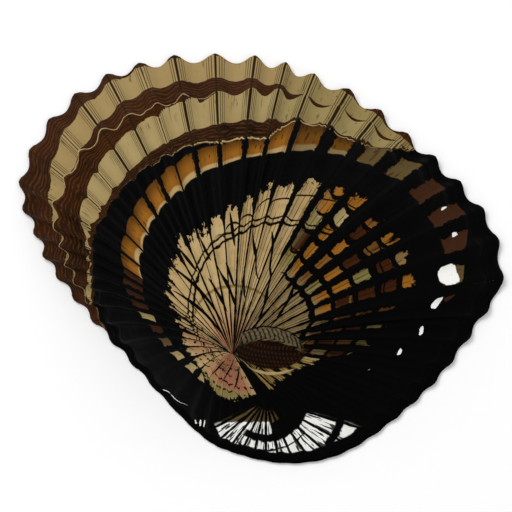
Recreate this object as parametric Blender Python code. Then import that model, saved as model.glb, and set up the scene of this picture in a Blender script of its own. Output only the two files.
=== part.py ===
# A ribbed, terraced limpet shell, mouth down, in one solid.
# It is swept by the law that a real one grows by: the margin shrinks towards the beak
# while it turns about it, so that every rib curls over into the beak.
# Millimetres and degrees in the driving dimensions; the mesh is in metres, +Z up.

import math

import bmesh
import bpy
import numpy as np

MM = 0.001

# The margin seen from above, from the middle of the footprint, through the tips of the ribs.
# Each point also says which rib it is on, counted from the first point.
OUTLINE = (
    (40.7, -4.1, 0), (37.6, 8.0, 2), (20.3, 25.5, 6), (9.0, 32.2, 8), (-1.1, 35.4, 10),
    (-15.0, 35.5, 12), (-26.5, 32.1, 14), (-36.2, 24.1, 16), (-40.8, 13.1, 18),
    (-38.0, 4.1, 20), (-34.0, -3.6, 22), (-24.6, -15.0, 25), (-11.4, -29.7, 29),
    (-4.3, -34.2, 32), (6.0, -36.0, 35), (16.1, -33.0, 38), (28.8, -22.4, 42), (37.8, -9.9, 45),
)
RIB_COUNT = 46
BEAK_FOOT = (-4.7, -21.8)
BEAK_HEIGHT = 16.0
REAR_BEARING = 108.0               # the way the shell grew fastest, from +X towards +Y
COIL_RATE = 3.3                    # shrinkage, as a natural logarithm, for each radian of turn
FULLNESS = 1.6                     # how far the flanks swell above a straight cone

# Ribs: narrow ridges with wide hollow flutes between them, bold behind and faint in front.
SAMPLES_IN_RIB = (0.0, 0.2, 0.5, 0.8)
CURVE_STEPS = 40                   # straight steps between two points of the outline
SCALLOP_DEPTH = 0.75
RIB_RELIEF = 1.2
CREST_OVERHANG = 0.2               # how far the ribs' relief carries their tips beyond the margin
CREST_SHARPNESS = 2.0
RELIEF_FADE = 0.8                  # power of the share of growth by which ribs rise from the beak
BOLD_BEARING = 82.0
BOLD_SPREAD = 84.0
SCALLOP_LEAST = 0.15
RELIEF_LEAST = 0.5

# Two terraces, where growth stopped. A gap is a share of the way from beak to margin.
TERRACE_BEARING = 125.0
TERRACE_SPREAD_RIGHT = 52.0
TERRACE_SPREAD_LEFT = 26.0
TERRACE_GAP = 0.180
TERRACE_GAP_LEAST = 0.035
INNER_GAP = 0.86                   # the inner terrace's gap as a share of the outer's
LIP_HEIGHT = 1.6
LIP_HEIGHT_LEAST = 0.15
LIP_CURVE = 4                      # power by which a terrace turns up towards its lip
LIP_SLOPE = 0.012
LIP_SLOPE_LEAST = 0.0036

# Wall and rim.
RIM_EDGE = 0.5
WALL = 2.1
WALL_ADDED_AT_CROWN = 1.4
VAULT_RING = 0.36                  # the last ring inside, above which the vault closes flat
FLUTES_FADE_AT = 0.75              # nearer the beak than this the inside has no flutes
PLAIN_INSET = 0.6                  # where the unfluted margin lies, from crest to flute

# The dark hollow beside the beak, shaped as a lens, with a low ridge along its far side.
LENS_LENGTH = 11.4
LENS_HALF_WIDTH = 2.1
LENS_DEPTH = 1.9
LENS_BEARING = 5.0
LENS_START = (0.7, 0.0)
LENS_TAPER = 0.7
LENS_RIDGE = 0.6
LENS_RIDGE_WIDTH = 0.7

# Rings from beak to margin as shares of each terrace, then back under the rim to the crown.
UPPER_RINGS = (0.035, 0.075, 0.12, 0.17, 0.24, 0.33, 0.45, 0.58, 0.72, 0.86, 1.0)
TERRACE_RINGS = (0.55, 1.0)
INNER_RINGS = (1.0, 0.965, 0.93, 0.87, 0.77, 0.65, 0.50, VAULT_RING)
CROWN_RINGS = (0.55,)
SWELL_POWER = 3
TANGENT_REACH = 0.3                # in ribs, to each side of a sample
TINY = 2e-3

SHELL_COLOUR = (0.42, 0.30, 0.16, 1.0)
SHELL_ROUGHNESS = 0.55


def closed_outline(steps):
    """A smooth closed curve through the outline's points, by Catmull and Rom's rule."""
    points = np.array(OUTLINE, float) - (*BEAK_FOOT, 0.0)
    once_round = np.array([0.0, 0.0, RIB_COUNT])
    points = np.concatenate([points[-1:] - once_round, points, points[:2] + once_round])
    t = np.linspace(0.0, 1.0, steps, endpoint=False)[:, None]
    pieces = []
    for a, b, c, d in zip(points, points[1:], points[2:], points[3:]):
        pieces.append(0.5 * (2 * b + (c - a) * t + (2 * a - 5 * b + 4 * c - d) * t**2
                             + (3 * b - a - 3 * c + d) * t**3))
    return np.concatenate([*pieces, points[-2:-1]])


def swell(bearing, middle, spread_before, spread_after=None):
    """1 at the middle bearing, falling smoothly to 0 on both sides."""
    away = (bearing - middle + 180.0) % 360.0 - 180.0
    spread = np.where(away < 0, spread_before, spread_after or spread_before)
    return np.exp(-np.abs(away / spread) ** SWELL_POWER)


def rib_phases():
    """The phase of every sample around the shell; a whole number is a rib's crest."""
    return np.array([rib + share for rib in range(RIB_COUNT) for share in SAMPLES_IN_RIB])


def margin_at(phases):
    """The outline through the crests from the beak's foot, and the direction into the shell."""
    curve = closed_outline(CURVE_STEPS)

    def point(phase):
        return np.stack([np.interp(phase % RIB_COUNT, curve[:, 2], curve[:, k]) for k in (0, 1)], 1)

    tangent = point(phases + TANGENT_REACH) - point(phases - TANGENT_REACH)
    tangent /= np.linalg.norm(tangent, axis=1)[:, None]
    return point(phases), np.stack([-tangent[:, 1], tangent[:, 0]], 1)


def crest(phases):
    """1 on a rib's crest and 0 in the middle of a flute, with a cusp at the crest."""
    away = np.abs(phases - np.round(phases))
    return (1.0 - 2.0 * away) ** CREST_SHARPNESS


class Growth:
    """The shell's surfaces: a place for each rib phase and share of growth."""

    def __init__(self, phases):
        self.phases = phases
        outline, inward = margin_at(phases)
        outline = outline + inward * CREST_OVERHANG
        bearing = np.degrees(np.arctan2(outline[:, 1], outline[:, 0]))
        bold = swell(bearing, BOLD_BEARING, BOLD_SPREAD)
        depth = SCALLOP_DEPTH * (SCALLOP_LEAST + (1.0 - SCALLOP_LEAST) * bold)
        self.relief = RIB_RELIEF * (RELIEF_LEAST + (1.0 - RELIEF_LEAST) * bold)
        self.margin = outline + inward * (depth * (1.0 - crest(phases)))[:, None]
        self.plain_margin = outline + inward * (PLAIN_INSET * depth)[:, None]
        spread = swell(bearing, TERRACE_BEARING, TERRACE_SPREAD_RIGHT, TERRACE_SPREAD_LEFT)
        gap = TERRACE_GAP_LEAST + TERRACE_GAP * spread
        self.edges = (1.0 - (1.0 + INNER_GAP) * gap, 1.0 - gap, np.ones_like(gap))
        self.lip = LIP_HEIGHT_LEAST + (LIP_HEIGHT - LIP_HEIGHT_LEAST) * spread
        self.lip_end = LIP_SLOPE_LEAST + LIP_SLOPE * spread
        rear = math.radians(REAR_BEARING)
        self.rear = np.array([math.cos(rear), math.sin(rear)])
        self.side = np.array([math.sin(rear), -math.cos(rear)])

    def coil(self, share, margin):
        """The margin shrunk to a share of its size about the beak, and turned as it grew."""
        turn = -np.log(share) / COIL_RATE
        back = margin @ self.rear
        across = margin @ self.side
        behind = share * (back * np.cos(turn) + BEAK_HEIGHT * np.sin(turn))
        above = share * (back * np.sin(turn) - BEAK_HEIGHT * np.cos(turn))
        plan = np.outer(behind, self.rear) + np.outer(share * across, self.side)
        height = BEAK_HEIGHT + above + FULLNESS * np.sin(math.pi * share) * share
        return np.column_stack([plan, height])

    def normal(self, share, margin):
        """The smooth surface's outward direction."""
        ring = self.coil(share, margin)
        along = self.coil(share * (1 + TINY), margin) - self.coil(share * (1 - TINY), margin)
        out = np.cross(along, np.roll(ring, -1, 0) - np.roll(ring, 1, 0))
        return out / np.linalg.norm(out, axis=1)[:, None]

    def outside(self, share, lift):
        """The outer surface at a share of growth, with its ribs and the lift of a lip."""
        share = np.broadcast_to(share, self.phases.shape)
        place = self.coil(share, self.margin)
        ribs = self.relief * share**RELIEF_FADE * crest(self.phases)
        rise = ribs + lift - lens_depth(place)
        return place + self.normal(share, self.plain_margin) * rise[:, None]

    def inside(self, share):
        """The inner surface, smooth near the crown and fluted near the margin."""
        fluted = max(0.0, (share - FLUTES_FADE_AT) / (1.0 - FLUTES_FADE_AT))
        margin = self.plain_margin + (self.margin - self.plain_margin) * fluted
        share = np.full(self.phases.shape, share)
        wall = WALL + WALL_ADDED_AT_CROWN * (1.0 - share)
        place = self.coil(share, margin) - self.normal(share, self.plain_margin) * wall[:, None]
        place[:, 2] = np.maximum(place[:, 2], 0.0)
        return place

    def rings(self):
        """Every ring of the closed surface, from the beak over the margin to the crown inside."""
        made = []
        start = np.zeros_like(self.phases)
        for edge, lip, shares in zip(self.edges, (self.lip, self.lip, RIM_EDGE),
                                     (UPPER_RINGS, TERRACE_RINGS, TERRACE_RINGS)):
            made += [self.outside(start + (edge - start) * v, lip * v**LIP_CURVE) for v in shares]
            if lip is self.lip:
                start = edge + self.lip_end
                made.append(self.outside(start, 0.0))
        made += [self.inside(share) for share in INNER_RINGS]
        crown = made[-1].mean(0)
        made += [crown + (made[-1] - crown) * v for v in CROWN_RINGS]
        return made, crown


def lens_depth(place):
    """How far the surface sinks at a place in the hollow beside the beak."""
    turn = math.radians(LENS_BEARING)
    x, y = place[:, 0] - LENS_START[0], place[:, 1] - LENS_START[1]
    along = (x * math.cos(turn) + y * math.sin(turn)) / LENS_LENGTH
    across = y * math.cos(turn) - x * math.sin(turn)
    bulge = np.sin(math.pi * np.clip(along, 0.0, 1.0))
    half_width = LENS_HALF_WIDTH * bulge**LENS_TAPER
    hollow = LENS_DEPTH * np.clip(1.0 - (across / (half_width + TINY)) ** 2, 0.0, 1.0)
    beyond = (across - half_width) / LENS_RIDGE_WIDTH - 1.0
    return (hollow - LENS_RIDGE * np.exp(-beyond**2)) * np.sqrt(bulge)


def build_shell(collection):
    """A sphere whose rings are carried to the rings of the shell; its top is the beak."""
    growth = Growth(rib_phases())
    rings, crown = growth.rings()
    footprint = np.concatenate(rings)[:, :2]
    middle = np.array([*(footprint.min(0) + footprint.max(0)) / 2, 0.0])
    segments, levels = len(growth.phases), len(rings) + 1
    bm = bmesh.new()
    bmesh.ops.create_uvsphere(bm, u_segments=segments, v_segments=levels, radius=1.0)
    for vert in bm.verts:
        level = round(math.acos(max(-1.0, min(1.0, vert.co.z))) / math.pi * levels)
        segment = round(math.atan2(vert.co.y, vert.co.x) / math.tau * segments) % segments
        if level == 0:
            place = np.array([0.0, 0.0, BEAK_HEIGHT])
        elif level == levels:
            place = crown
        else:
            place = rings[level - 1][segment]
        vert.co = (place - middle) * MM
    mesh = bpy.data.meshes.new("limpet_shell")
    bm.to_mesh(mesh)
    bm.free()
    mesh.shade_smooth()
    mesh.materials.append(shell_material())
    collection.objects.link(bpy.data.objects.new("limpet_shell", mesh))


def shell_material():
    material = bpy.data.materials.new("shell")
    material.use_nodes = True
    surface = material.node_tree.nodes["Principled BSDF"]
    surface.inputs["Base Color"].default_value = SHELL_COLOUR
    surface.inputs["Roughness"].default_value = SHELL_ROUGHNESS
    surface.inputs["Metallic"].default_value = 0.0
    return material


def main():
    for obj in list(bpy.data.objects):
        bpy.data.objects.remove(obj)
    collection = bpy.data.collections.new("ribbed_limpet_shell")
    bpy.context.scene.collection.children.link(collection)
    build_shell(collection)


main()
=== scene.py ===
import math

import bpy
import numpy as np
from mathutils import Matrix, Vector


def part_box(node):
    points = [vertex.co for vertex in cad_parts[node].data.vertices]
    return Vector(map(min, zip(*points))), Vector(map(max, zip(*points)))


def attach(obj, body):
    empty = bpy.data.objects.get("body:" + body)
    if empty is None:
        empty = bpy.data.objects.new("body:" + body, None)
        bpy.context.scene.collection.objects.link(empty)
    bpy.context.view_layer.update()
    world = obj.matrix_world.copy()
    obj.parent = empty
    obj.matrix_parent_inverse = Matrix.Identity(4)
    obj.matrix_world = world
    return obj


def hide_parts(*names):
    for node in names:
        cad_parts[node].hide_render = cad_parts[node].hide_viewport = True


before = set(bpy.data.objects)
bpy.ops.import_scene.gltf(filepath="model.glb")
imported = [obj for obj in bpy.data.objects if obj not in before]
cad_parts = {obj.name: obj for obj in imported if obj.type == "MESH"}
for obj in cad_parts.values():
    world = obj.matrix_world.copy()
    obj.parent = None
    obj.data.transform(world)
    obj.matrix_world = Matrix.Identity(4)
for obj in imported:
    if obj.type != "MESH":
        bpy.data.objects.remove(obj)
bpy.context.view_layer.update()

cadLow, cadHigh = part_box("limpet_shell")
mm = 0.001
draws = np.random.default_rng(46)        # the same draws on each run


# the shell's form, in millimetres and degrees
form = {
    # x, y and the rib it is on: the rim from above, through the tips of the ribs
    "outline": (
        (40.7, -4.1, 0), (37.6, 8.0, 2), (20.3, 25.5, 6), (9.0, 32.2, 8), (-1.1, 35.4, 10),
        (-15.0, 35.5, 12), (-26.5, 32.1, 14), (-36.2, 24.1, 16), (-40.8, 13.1, 18),
        (-38.0, 4.1, 20), (-34.0, -3.6, 22), (-24.6, -15.0, 25), (-11.4, -29.7, 29),
        (-4.3, -34.2, 32), (6.0, -36.0, 35), (16.1, -33.0, 38), (28.8, -22.4, 42),
        (37.8, -9.9, 45),
    ),
    "ribs": 46,
    "samplesInRib": 12,
    "beakFoot": (-4.7, -21.8),
    "beakHeight": 16.0,
    "rearBearing": 108.0,    # the way that the coil opens, seen from above
    "coilRate": 3.3,
    "fullness": 1.6,         # how far the flanks bulge
    "boldBearing": 82.0,     # where ribs and scallops are boldest, and how far round that reaches
    "boldSpread": 84.0,
    "scallop": 0.75,
    "scallopShares": (0.08, 0.77),    # all round, and what the bold side adds
    "relief": 1.2,
    "cuspShare": 0.20,       # how sharp the ribs' tops are on the bold side
    "calmRim": 0.92,         # how far the ribs die down at the rim, away from the bold side
    "overhang": 0.2,
    "terraceBearing": 125.0,
    "terraceSpread": (52.0, 26.0),
    "terraceGap": 0.18,
    "terraceGapLeast": 0.035,
    "innerGap": 0.86,        # the inner terrace's gap as a share of the outer's
    "lip": 1.6,
    "lipLeast": 0.15,
    "lipFoot": 0.0036,       # how far out a lip's foot stands, as shares: all round, and what a terrace adds
    "lipSlope": 0.012,
    "rimEdge": 0.5,
    "wall": 2.1,
    "wallAtCrown": 1.4,
    "riblet": 0.10,          # height of the two fine riblets beside each rib
    "ribletsAt": ((0.19, 1.0), (0.36, 0.7)),    # how far each is from the rib, and its share of the height
    "ribletWidth": 0.05,
    "check": 0.10,           # height of the growth checks
    "chips": 0.006,          # how raggedly a terrace's edge is broken, as a share of growth
}

# the hollow beside the beak
lens = {"length": 11.4, "halfWidth": 2.1, "depth": 1.9, "bearing": 5.0, "start": (0.7, 0.5),
        "taper": 0.7, "ridge": 0.6, "ridgeWidth": 0.7, "crenulation": 0.25, "crenulations": 60.0,
        "seam": 0.25, "seamWidth": 0.35}
# the scar of the foot's muscle, on the underside
scarForm = {"bearing": 100.0, "spread": 128.0, "share": 0.60, "width": 0.045, "depth": 0.22}
# how many rings of faces each stretch has, and where the last ones lie, as shares
meshing = {"upper": 66, "upperCrowding": 1.15, "step": 22, "riser": (0.35, 0.7), "rimInside": 8,
           "inside": 36, "insideEnd": 0.36, "crown": (0.85, 0.68, 0.5, 0.32, 0.15)}


def outlineCurve(steps=60):
    points = np.array(form["outline"], float) - (*form["beakFoot"], 0.0)
    lap = np.array([0.0, 0.0, form["ribs"]])
    points = np.concatenate([points[-1:] - lap, points, points[:2] + lap])
    t = np.linspace(0.0, 1.0, steps, endpoint=False)[:, None]
    pieces = []
    for a, b, c, d in zip(points, points[1:], points[2:], points[3:]):
        pieces.append(0.5 * (2 * b + (c - a) * t + (2 * a - 5 * b + 4 * c - d) * t**2
                             + (3 * b - a - 3 * c + d) * t**3))
    return np.concatenate([*pieces, points[-2:-1]])


def swell(bearing, middle, before, after=None):
    away = (bearing - middle + 180.0) % 360.0 - 180.0
    spread = np.where(away < 0, before, after or before)
    return np.exp(-np.abs(away / spread) ** 3)


def ramp(value, low, high):
    t = np.clip((value - low) / (high - low), 0.0, 1.0)
    return t * t * (3.0 - 2.0 * t)


# columns: one for each sample round the shell
phase = np.arange(form["ribs"] * form["samplesInRib"]) / form["samplesInRib"]
columns = len(phase)
curve = outlineCurve()


def rimPoint(p):
    p = p % form["ribs"]
    return np.stack([np.interp(p, curve[:, 2], curve[:, k]) for k in (0, 1)], 1)


tangent = rimPoint(phase + 0.3) - rimPoint(phase - 0.3)
tangent /= np.linalg.norm(tangent, axis=1)[:, None]
inward = np.stack([-tangent[:, 1], tangent[:, 0]], 1)
outline = rimPoint(phase) + inward * form["overhang"]
bearing = np.degrees(np.arctan2(outline[:, 1], outline[:, 0])) % 360.0
ribAway = np.abs(phase - np.round(phase))
bold = swell(bearing, form["boldBearing"], form["boldSpread"])
sharpness = form["cuspShare"] * bold
cusp = (1.0 - 2.0 * ribAway) ** 2
roundTop = (0.5 + 0.5 * np.cos(math.tau * ribAway)) ** 1.3
crest = sharpness * cusp + (1.0 - sharpness) * roundTop
scallop = form["scallop"] * (form["scallopShares"][0] + form["scallopShares"][1] * bold)
ribHeight = form["relief"] * (0.5 + 0.5 * bold)
rim = outline + inward * (scallop * (1.0 - crest))[:, None]
plainRim = outline + inward * (0.6 * scallop)[:, None]
terrace = swell(bearing, form["terraceBearing"], *form["terraceSpread"])
calmRim = form["calmRim"] * (1.0 - bold)
gap = form["terraceGapLeast"] + form["terraceGap"] * terrace
lip = form["lipLeast"] + (form["lip"] - form["lipLeast"]) * terrace
edgeC, edgeB, edgeA = 1.0 - (1.0 + form["innerGap"]) * gap, 1.0 - gap, np.ones(columns)

# a few random draws for each rib and flute; the cells of the right side are set
sideTones = (0.90, 0.05, 0.05, 0.30, 0.95, 0.90, 0.15, 0.30, 0.50)
ribIndex = np.round(phase).astype(int) % form["ribs"]
fluteIndex = np.floor(phase + 1e-6).astype(int) % form["ribs"]
ribTone = draws.random(form["ribs"])[ribIndex]
fluteTones = draws.random(form["ribs"])
fluteTones[:len(sideTones)] = sideTones
fluteTone = fluteTones[fluteIndex]
fluteReach = draws.random(form["ribs"])[fluteIndex]


def smoothRing(values, width):
    kernel = np.exp(-np.linspace(-2, 2, 2 * width + 1) ** 2)
    wide = np.concatenate([values[-width:], values, values[:width]])
    return np.convolve(wide, kernel / kernel.sum(), "valid")


chip = np.clip(smoothRing(draws.normal(size=columns), 3) * 1.4, -1.0, 1.5)
chipB = np.clip(smoothRing(draws.normal(size=columns), 3) * 1.4, -1.0, 1.5)

rearWay = math.radians(form["rearBearing"])
rear = np.array([math.cos(rearWay), math.sin(rearWay)])
side = np.array([math.sin(rearWay), -math.cos(rearWay)])


def coil(share, margin):
    share = np.maximum(share, 1e-4)
    turn = -np.log(share) / form["coilRate"]
    back, across = margin @ rear, margin @ side
    behind = share * (back * np.cos(turn) + form["beakHeight"] * np.sin(turn))
    above = share * (back * np.sin(turn) - form["beakHeight"] * np.cos(turn))
    place = np.outer(behind, rear) + np.outer(share * across, side)
    height = form["beakHeight"] + above + form["fullness"] * np.sin(math.pi * share) * share
    return np.column_stack([place, height])


def outwards(share, margin):
    ring = coil(share, margin)
    along = coil(share * 1.002, margin) - coil(share * 0.998, margin)
    out = np.cross(along, np.roll(ring, -1, 0) - np.roll(ring, 1, 0))
    return out / np.linalg.norm(out, axis=1)[:, None]


def lensParts(place):
    turn = math.radians(lens["bearing"])
    x, y = place[:, 0] - lens["start"][0], place[:, 1] - lens["start"][1]
    along = (x * math.cos(turn) + y * math.sin(turn)) / lens["length"]
    across = y * math.cos(turn) - x * math.sin(turn)
    bulge = np.sin(math.pi * np.clip(along, 0.0, 1.0))
    half = lens["halfWidth"] * bulge ** lens["taper"]
    hollow = np.clip(1.0 - (across / (half + 0.002)) ** 2, 0.0, 1.0) * np.sqrt(bulge)
    beyond = (across - half) / lens["ridgeWidth"] - 1.0
    ridge = np.exp(-beyond**2) * np.sqrt(bulge)
    below = (-across - half) / lens["seamWidth"] - 0.8
    seam = np.exp(-below**2) * np.sqrt(bulge)
    above = np.where(bulge > 0.02, across - half, -5.0)
    return hollow, ridge, seam, np.clip(along, -0.2, 1.2), np.clip(above, -5.0, 5.0)


# where the colour bands lie: pairs of rib and share of the way from beak to rim
bands = {
    # the blush round the beak, two growth arcs, and the ragged end of the pale fan
    1: ((0, .08), (8, .09), (18, .10), (24, .16), (28, .20), (35, .18), (40, .10)),
    2: ((0, .19), (5, .20), (10, .185), (17, .165), (24, .17), (34, .20), (42, .19)),
    3: ((0, .545), (2, .56), (4, .53), (5, .48), (6, .45), (8, .395), (10, .335), (12, .285),
        (14, .235), (16, .19), (18, .17), (20, .18), (22, .18), (25, .24), (34, .25), (41, .22), (44, .34)),
    4: ((0, .62), (3, .66), (4, .69), (5, .66), (6, .61), (7, .56), (8, .515), (9, .435), (11, .385),
        (13, .335), (15, .30), (17, .27), (18, .255), (20, .275), (22, .27), (24, .33), (26, .42),
        (28, .45), (30, .55), (32, .54), (34, .45), (37, .40), (40, .36), (42, .42), (43, .60)),
    # the strip of light cells and the black margin outside it
    5: ((0, .775), (2, .80), (4, .83), (5, .80), (6, .755), (7, .70), (8, .645), (9, .60),
        (11, .535), (13, .47), (15, .43), (17, .40), (19, .385), (21, .43), (23, .475), (26, .53),
        (28, .47), (29, .53), (31, .58), (36, .62), (40, .60), (43, .735), (45, .765)),
    6: ((0, .835), (1, .86), (2, .93), (4, .94), (5, .90), (6, .82), (7, .80), (8, .77), (9, .655),
        (11, .605), (13, .55), (15, .505), (17, .475), (19, .47), (21, .53), (23, .57), (26, .61),
        (28, .56), (29, .57), (31, .62), (36, .66), (40, .64), (43, .76), (45, .79)),
    7: ((0, 1.2), (4.3, 1.2), (4.6, .96), (5, .905), (6, .823), (7, .803), (8, .773), (9, .658),
        (11, .615), (13, .585), (15, .565), (17, .565), (19, .605), (21, .685), (22, .75), (23, .86),
        (24, .94), (25, 1.0), (25.5, 1.2)),
    8: ((0, 1.21), (4.3, 1.21), (4.6, .965), (5, .91), (6, .828), (7, .807), (8, .778), (9, .735),
        (10, .725), (11, .70), (13, .65), (15, .61), (17, .585), (19, .62), (21, .70), (23, .87),
        (24, .95), (25, 1.01), (25.5, 1.21)),
}
# cream and brown on the two terraces, as shares of each terrace's width
stepBands = {
    9: ((5, 1.0), (11, 1.0), (12, .82), (13, .69), (15, .58), (17, .47), (18, .36), (19, .05), (21, .02)),
    11: ((7, .0), (8, .10), (9, .28), (10, .38), (11, .42), (13, .44), (14, .36), (15, .24), (16, .10),
         (17, .02), (18, .02), (19, .04)),
    12: ((5, .55), (7, .80), (8, 1.0), (11, .97), (13, .92), (14, .84), (15, .72), (16, .60), (17, .44),
         (18, .22), (19, .10), (20, .04)),
}
arch = 0.026             # how far a band's edge bows out between two ribs
arching = {2: 0.1, 3: 0.12}


def byRib(pairs):
    ribs, values = zip(*pairs)
    return np.interp(phase, ribs, values, period=form["ribs"])


front = swell(phase / form["ribs"] * 360.0, 34.0 / form["ribs"] * 360.0, 42.0)
bow = arch * (1.0 - cusp) * (1.0 - 0.7 * front)


def bandEdges():
    # bands are counted outwards from the beak, and a zone is that count: 5 to 6 is the strip of cells,
    # 8 to 9 and 11 to 12 the cream of the terraces
    edges = [np.zeros(columns)]
    for number in range(1, 9):
        edges.append(byRib(bands[number]) + bow * arching.get(number, 1.0))
    inner, outer = np.minimum(edges[8], edgeB - 0.004), edgeB
    edges.append(inner + (outer - inner) * byRib(stepBands[9]) + bow * (byRib(stepBands[9]) < 0.9))
    edges.append(edgeB)
    for number in (11, 12):
        edges.append(edgeB + (edgeA - edgeB) * byRib(stepBands[number]) + 0.8 * bow)
    edges.append(np.full(columns, 1.0))
    return np.maximum.accumulate(np.array(edges) + np.arange(14)[:, None] * 1e-5, 0)


zoneEdges = bandEdges()


def blackFields(share):
    # how far inside the black a place lies, as a share: past the fan's end, and beside the cells
    cellsIn, cellsOut, marginOut = zoneEdges[5], zoneEdges[6], zoneEdges[7]
    ends = zoneEdges[4] + (fluteReach - 0.5) * 0.05 * (1.0 - 0.6 * front)
    strip = np.maximum(cellsIn - share, np.minimum(share - cellsOut, marginOut - share))
    return share - ends, strip + 0.03 * spanOf("noCells")


def zoneAt(share):
    zone = np.zeros(columns)
    for number in range(13):
        low, high = zoneEdges[number], zoneEdges[number + 1]
        zone += np.clip((share - low) / np.maximum(high - low, 1e-9), 0.0, 1.0)
    return zone


def overRibs(low, full, fullEnd, high):
    # 1 between two ribs and 0 beyond, over the seam as well
    middle = (full + fullEnd) / 2.0
    away = (phase - middle + form["ribs"] / 2.0) % form["ribs"] - form["ribs"] / 2.0
    return ramp(away, low - middle, full - middle) * (1.0 - ramp(away, fullEnd - middle, high - middle))


# ribs where each kind of marking begins, is full, is still full, and has ended
# shadedCellSide and shade mark the right side, which is darkened there as painted shade
spans = {
    "shadedCellSide": (-5.0, -2.5, 3.5, 7.5), "shade": (-6.0, -4.6, -1.0, 0.2), "backRight": (3.6, 5.0, 8.0, 9.6),
    "leftFlank": (18.6, 19.8, 23.6, 25.2), "leftFront": (23.6, 25.2, 27.4, 28.4),
    "front": (28.0, 29.0, 33.8, 34.8), "rightFront": (36.0, 36.8, 40.6, 42.0),
    "gap": (34.6, 35.1, 36.2, 36.9),
    "noCells": (28.3, 28.9, 45.0, 45.9), "cellShift": (-1.0, 0.0, 7.0, 9.0),
    "wideBarsRight": (-2.0, -1.0, 6.6, 8.2), "wideBarsLeft": (18.4, 20.0, 28.0, 29.0),
    "blushRear": (3.0, 6.0, 17.0, 20.0), "blushFlank": (22.5, 24.0, 27.0, 28.2),
    "blushFore": (27.8, 29.2, 33.6, 35.0),
}


def spanOf(name):
    return overRibs(*spans[name])


# the right side: painted shade darkens it, and the cells and rings of the pattern lie on it too
shadedCellSide, shade = spanOf("shadedCellSide"), spanOf("shade")
streaks = spanOf("leftFlank") + 0.35 * spanOf("leftFront")
cellShift = -0.17 * spanOf("cellShift")
cellAway = np.abs((phase - cellShift) - np.round(phase - cellShift))
ribGap = np.linalg.norm(rimPoint(phase + 0.5) - rimPoint(phase - 0.5), axis=1)
# rows of cells on the dark side, as shares: their height, the start of the first, and the rings between them
cellRows = {"height": 0.083, "start": 0.380, "count": 16, "before": 5, "ring": (0.006, 0.017),
            "from": (0.26, 0.31), "to": (0.66, 0.70)}
stripZones = (4.5, 6.9)
cellTones = draws.random((form["ribs"], cellRows["count"]))
# half widths of the bars in ribs, each at its zone
barWidths = (
    (0.0, .0), (3.0, .0), (3.35, .03), (3.7, .09), (4.0, .17), (4.5, .17), (4.6, .10), (6.5, .10), (6.6, .02),
    (8.0, .02), (8.05, .04), (8.95, .04), (9.0, .02), (11.0, .02), (11.05, .03), (11.95, .03), (12.0, .02),
    (13.0, .02),
)
# where the bars widen in the fan, on the right side (shadedCellSide and shade) as painted shade: the shares
# over which they set in, their least half width in ribs, and what the rib's own draw adds
darkBars = (
    (shadedCellSide, (0.04, 0.10), 0.12, 0.0), (shadedCellSide, (0.24, 0.40), 0.10, 0.12), (shade, (0.12, 0.34), 0.06, 0.12),
    (spanOf("rightFront"), (0.10, 0.24), 0.08, 0.20), (spanOf("backRight"), (0.24, 0.42), 0.03, 0.09),
    (streaks, (0.06, 0.30), 0.16, 0.22),
)

# patches of white showing through the black: rib, share, and half sizes in the same units
whitePatches = (
    (0.38, 0.808, 0.34, 0.036), (45.45, 0.783, 0.22, 0.014), (44.2, 0.792, 0.20, 0.009),
    (43.1, 0.757, 0.17, 0.007), (41.8, 0.69, 0.18, 0.005), (41.1, 0.668, 0.15, 0.004),
    (29.12, 0.940, 0.05, 0.026), (29.36, 0.925, 0.05, 0.036), (29.58, 0.905, 0.05, 0.034),
    (1.62, 0.875, 0.06, 0.012), (2.60, 0.905, 0.05, 0.012),
)


def hairLine(share, width):
    # half the width of a line in ribs, from its width in millimetres
    return np.clip(width / 2.0 / (np.maximum(share, 0.02) * ribGap), 0.0, 0.30)


def barWidth(zone, share):
    # half the width of the black bars along the ribs, in ribs
    bar = np.interp(zone, *zip(*barWidths)) * (0.5 + 1.0 * ribTone)
    bar = np.maximum(bar, hairLine(share, 0.24) * (0.5 + 1.0 * ribTone))
    bar = bar * np.where(zone < 4.0, 1.0 - 0.85 * spanOf("front"), 1.0)
    inFan = 1.0 - ramp(zone, 4.2, 4.5)
    dark = sum(where * ramp(share, *setIn) * (least + more * ribTone)
               for where, setIn, least, more in darkBars)
    bar = np.maximum(bar, dark * inFan)
    inCells = ramp(zone, 4.5, 4.6) * (1.0 - ramp(zone, 6.5, 6.6))
    bar = np.maximum(bar, inCells * (0.22 * spanOf("wideBarsRight") + 0.23 * spanOf("wideBarsLeft")))
    # the gap between the two fans is black
    return np.maximum(bar, 0.7 * spanOf("gap") * ramp(share, 0.10, 0.16) * inFan)


def ringInk(share):
    # black rings across the ribs, only on the right side that is painted in shade
    row = (share - cellRows["start"]) / cellRows["height"]
    near = np.abs(row - np.round(row)) * cellRows["height"]
    ring = (1.0 - ramp(near, *cellRows["ring"])) * ramp(share, *cellRows["from"])
    ring *= 1.0 - ramp(share, *cellRows["to"])
    return ring * np.clip(shadedCellSide * 1.3, 0.0, 1.0)


def blushAt(share):
    rear = spanOf("blushRear") * (1.0 - ramp(share, 0.04, 0.16))
    flank = 0.7 * spanOf("blushFlank") * ramp(share, 0.08, 0.16) * (1.0 - ramp(share, 0.36, 0.44))
    fore = spanOf("blushFore") * (1.0 - ramp(share, 0.42, 0.50))
    return np.clip(rear + flank + fore, 0.0, 1.0)


def whiteAt(share):
    white = np.zeros(columns)
    for rib, middle, halfRibs, halfShare in whitePatches:
        away = (phase - rib + form["ribs"] / 2.0) % form["ribs"] - form["ribs"] / 2.0
        far = (np.abs(away / halfRibs) ** 3 + np.abs((share - middle) / halfShare) ** 3) ** (1 / 3)
        white = np.maximum(white, 1.5 - far)
    return np.clip(white, 0.0, 1.0)


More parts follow.
